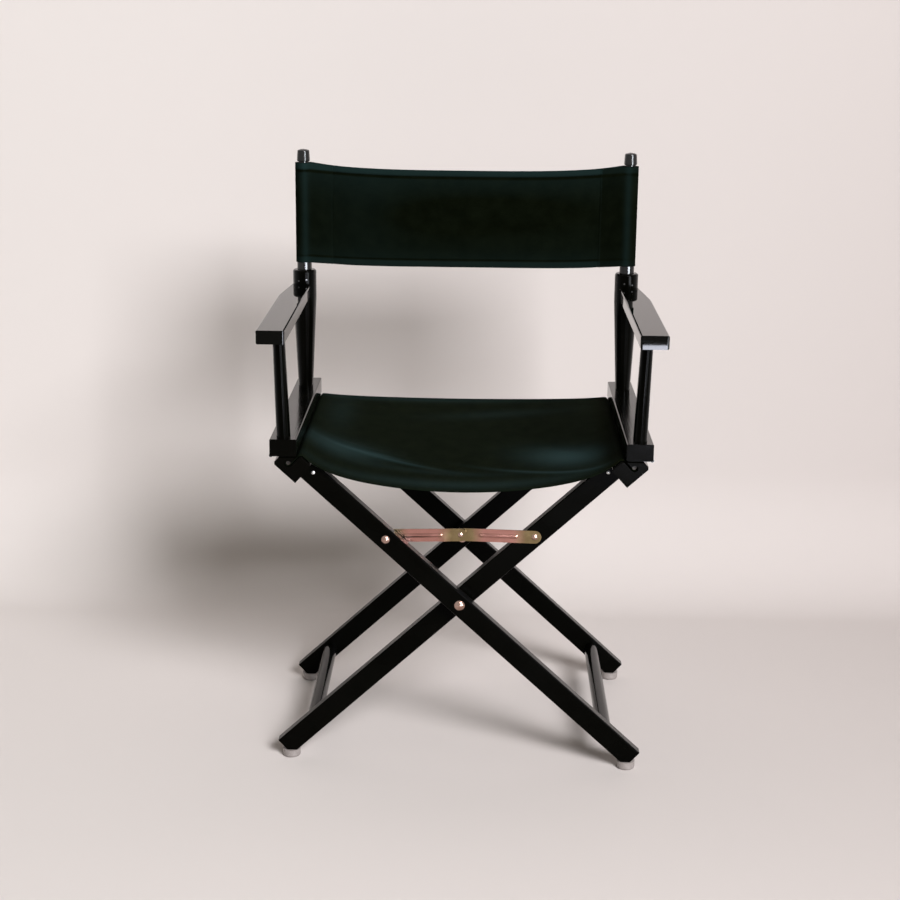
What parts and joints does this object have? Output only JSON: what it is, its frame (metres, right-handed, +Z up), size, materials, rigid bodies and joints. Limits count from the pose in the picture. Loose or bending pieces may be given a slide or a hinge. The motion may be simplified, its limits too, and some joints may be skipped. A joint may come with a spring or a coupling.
{
  "type": "folding directors chair",
  "caption": "Low folding directors chair with glossy black wooden frame, black canvas seat and back sling, turned arm posts, crossed legs with steel folding stays and pale glides.",
  "frame": {"origin": "on the floor, in the middle of the open chair's width and depth", "axes": "+X to the right as seen from the front, +Y to the rear, the chair faces -Y, +Z up"},
  "size_m": [0.555, 0.451, 0.87],
  "materials": {
    "black_wood": "black satin gloss paint on turned and planed hardwood",
    "canvas": "heavy black cotton canvas, sewn hems",
    "zinc_steel": "yellow iridescent zinc plate on pressed strip",
    "nickel": "plated rivets",
    "steel": "plain plated hinges and screws",
    "rod_wood": "bare dowel",
    "nylon": "smooth domed glides"
  },
  "bodies": {
    "left_side": {"arm_left": "black_wood", "front_post_left": "black_wood", "rear_post_left": "black_wood", "base_rail_left": "black_wood", "back_stick_left": "black_wood", "back_canvas": "canvas", "hinge_base_leaves_left": "steel", "hinge_pins_left": "steel", "base_screws_left": "steel", "arm_screw_left": "steel", "post_brads_left": "steel"},
    "right_side": {"arm_right": "black_wood", "front_post_right": "black_wood", "rear_post_right": "black_wood", "base_rail_right": "black_wood", "back_stick_right": "black_wood", "hinge_base_leaves_right": "steel", "hinge_pins_right": "steel", "base_screws_right": "steel", "arm_screw_right": "steel", "post_brads_right": "steel"},
    "wide_frame": {"leg_front_outer": "black_wood", "leg_rear_outer": "black_wood", "seat_rail_left": "black_wood", "stretcher_outer": "black_wood", "seat_rod_left": "rod_wood", "seat_canvas": "canvas", "leg_pins_outer": "steel", "hinge_rail_leaves_left": "steel", "rail_screws_left": "steel", "glides_outer": "nylon", "pivot_rivets": "nickel", "pivot_spacers": "steel", "stay_outer_rivets": "nickel"},
    "narrow_frame": {"leg_front_inner": "black_wood", "leg_rear_inner": "black_wood", "seat_rail_right": "black_wood", "stretcher_inner": "black_wood", "seat_rod_right": "rod_wood", "leg_pins_inner": "steel", "hinge_rail_leaves_right": "steel", "rail_screws_right": "steel", "glides_inner": "nylon", "stay_inner_rivets": "nickel"},
    "stay_front_left": {"stay_front_left_link": "zinc_steel", "stay_front_middle_head": "nickel"},
    "stay_front_right": {"stay_front_right_link": "zinc_steel", "stay_front_middle_tail": "nickel"},
    "stay_rear_left": {"stay_rear_left_link": "zinc_steel", "stay_rear_middle_head": "nickel"},
    "stay_rear_right": {"stay_rear_right_link": "zinc_steel", "stay_rear_middle_tail": "nickel"}
  },
  "joints": [
    {"name": "left_hinge", "type": "hinge", "parent": "left_side", "child": "wide_frame", "pos_m": [-0.267, 0.028, 0.4745], "axis": [0, 1, 0], "range_deg": [0, 37.4], "deforming": ["seat_canvas", "back_canvas"]},
    {"name": "scissor", "type": "hinge", "parent": "wide_frame", "child": "narrow_frame", "pos_m": [0, 0.028, 0.252], "axis": [0, 1, 0], "range_deg": [-74.8, 0]},
    {"name": "right_hinge", "type": "hinge", "parent": "narrow_frame", "child": "right_side", "pos_m": [0.267, 0.028, 0.4745], "axis": [0, 1, 0], "range_deg": [0, 37.4]},
    {"name": "stay_front_left_pivot", "type": "hinge", "parent": "wide_frame", "child": "stay_front_left", "pos_m": [-0.10642, -0.1339, 0.34989], "axis": [0, 1, 0], "range_deg": [0, 40.31]},
    {"name": "stay_front_right_pivot", "type": "hinge", "parent": "narrow_frame", "child": "stay_front_right", "pos_m": [0.10642, -0.1312, 0.34989], "axis": [0, 1, 0], "range_deg": [-40.31, 0]},
    {"name": "stay_rear_left_pivot", "type": "hinge", "parent": "wide_frame", "child": "stay_rear_left", "pos_m": [-0.10642, 0.1899, 0.34989], "axis": [0, 1, 0], "range_deg": [0, 40.31]},
    {"name": "stay_rear_right_pivot", "type": "hinge", "parent": "narrow_frame", "child": "stay_rear_right", "pos_m": [0.10642, 0.1872, 0.34989], "axis": [0, 1, 0], "range_deg": [-40.31, 0]}
  ],
  "couplings": [
    {"joint": "scissor", "follows": "left_hinge", "ratio": -2},
    {"joint": "right_hinge", "follows": "left_hinge", "ratio": 1},
    {"joint": "stay_front_left_pivot", "follows": "left_hinge", "ratio": 1.0779},
    {"joint": "stay_front_right_pivot", "follows": "left_hinge", "ratio": -1.0779},
    {"joint": "stay_rear_left_pivot", "follows": "left_hinge", "ratio": 1.0779},
    {"joint": "stay_rear_right_pivot", "follows": "left_hinge", "ratio": -1.0779}
  ]
}
